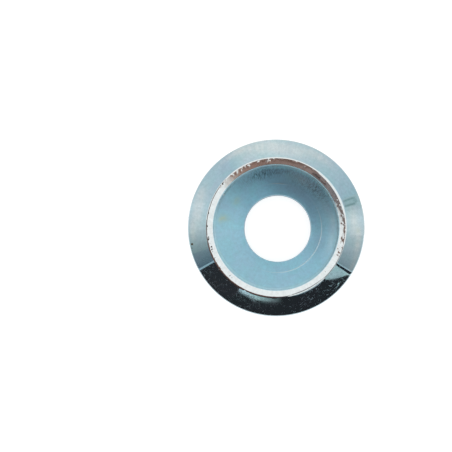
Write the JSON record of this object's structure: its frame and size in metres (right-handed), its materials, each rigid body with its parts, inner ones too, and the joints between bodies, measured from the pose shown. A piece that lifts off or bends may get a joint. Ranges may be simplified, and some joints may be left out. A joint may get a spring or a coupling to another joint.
{
  "type": "cup washer",
  "caption": "Turned ring with a conical cup and a central bore, which seats a countersunk screw head flush and spreads its load through a flat base.",
  "frame": {"origin": "centre of the flat base, where the turning axis meets the surface that the washer lies on", "axes": "+Z along the turning axis, out of the mouth of the cup; X and Y lie in the base plane"},
  "size_m": [0.0234, 0.0234, 0.0053],
  "materials": {
    "zinc_plated_steel": "turned, bright zinc plated and blue passivated"
  },
  "bodies": {
    "root": {"cup_washer": "zinc_plated_steel"}
  },
  "joints": []
}
